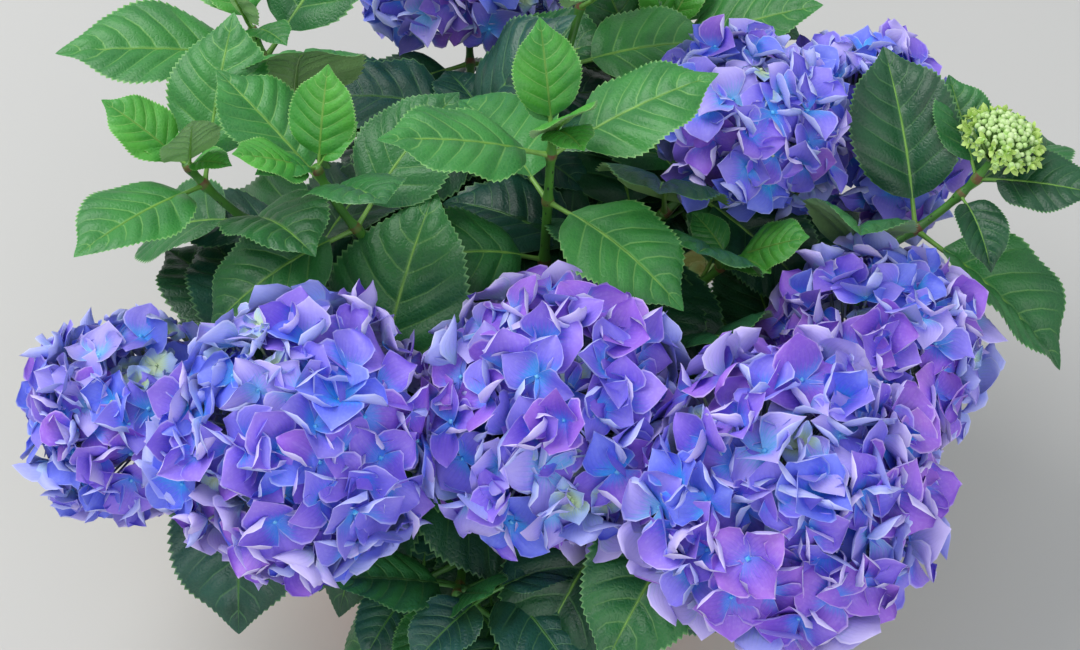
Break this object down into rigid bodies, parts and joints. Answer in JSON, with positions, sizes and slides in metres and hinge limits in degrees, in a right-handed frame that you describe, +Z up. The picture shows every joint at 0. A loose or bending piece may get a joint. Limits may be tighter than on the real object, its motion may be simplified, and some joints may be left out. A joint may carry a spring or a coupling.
{
  "type": "potted hydrangea shrub",
  "caption": "Mophead hydrangea shrub in bloom in a round plastic pot: forked canes, crossed pairs of broad leaves, round blue-violet flower heads and a green bud head.",
  "frame": {"origin": "middle of the pot's flat underside, on the surface that it stands on", "axes": "+Z up; +X to the right and -Y towards the side with the row of large flower heads"},
  "size_m": [0.6933, 0.644, 0.4966],
  "materials": {
    "pot_plastic": "bright orange moulded plastic, satin",
    "compost": "damp dark potting compost",
    "woody_stem": "green-brown bark with corky specks",
    "green_stem": "smooth green stem with red-brown flecks",
    "leaves": "quilted green leaf, satin above, paler below",
    "petals": "soft blue-violet petal with a paler rim",
    "green_buds": "closed yellow-green flower buds"
  },
  "bodies": {
    "root": {"pot": "pot_plastic", "compost": "compost", "cane_front_left": "woody_stem", "cane_front_low": "woody_stem", "cane_front": "woody_stem", "cane_right": "woody_stem", "cane_middle_right": "woody_stem", "cane_back_right": "woody_stem", "cane_back": "woody_stem", "cane_left": "woody_stem", "cane_middle_left": "woody_stem", "cane_middle": "woody_stem", "stem_front_left": "green_stem", "stem_front_midleft": "green_stem", "stem_front_middle": "green_stem", "stem_front_midright": "green_stem", "stem_front_right": "green_stem", "stem_back_right_inner": "green_stem", "stem_back_right_outer": "green_stem", "stem_back": "green_stem", "stem_right_bud": "green_stem", "stem_left_leafy": "green_stem", "stem_midleft_leafy": "green_stem", "stem_middle_leafy": "green_stem", "stem_back_left_leafy": "green_stem", "stem_back_leafy": "green_stem", "stem_right_leafy": "green_stem", "stem_front_low_leafy": "green_stem", "stem_back_low_leafy": "green_stem", "flower_head_front_left": "petals", "flower_head_front_midleft": "petals", "flower_head_front_middle": "petals", "flower_head_front_midright": "petals", "flower_head_front_right": "petals", "flower_head_back_right_inner": "petals", "flower_head_back_right_outer": "petals", "flower_head_back": "petals", "bud_head_right_bud": "green_buds", "foliage_front_left": "leaves", "foliage_front_midleft": "leaves", "foliage_front_middle": "leaves", "foliage_front_midright": "leaves", "foliage_front_right": "leaves", "foliage_back_right_inner": "leaves", "foliage_back_right_outer": "leaves", "foliage_back": "leaves", "foliage_right_bud": "leaves", "foliage_left_leafy": "leaves", "foliage_midleft_leafy": "leaves", "foliage_middle_leafy": "leaves", "foliage_back_left_leafy": "leaves", "foliage_back_leafy": "leaves", "foliage_right_leafy": "leaves", "foliage_front_low_leafy": "leaves", "foliage_back_low_leafy": "leaves"}
  },
  "joints": []
}
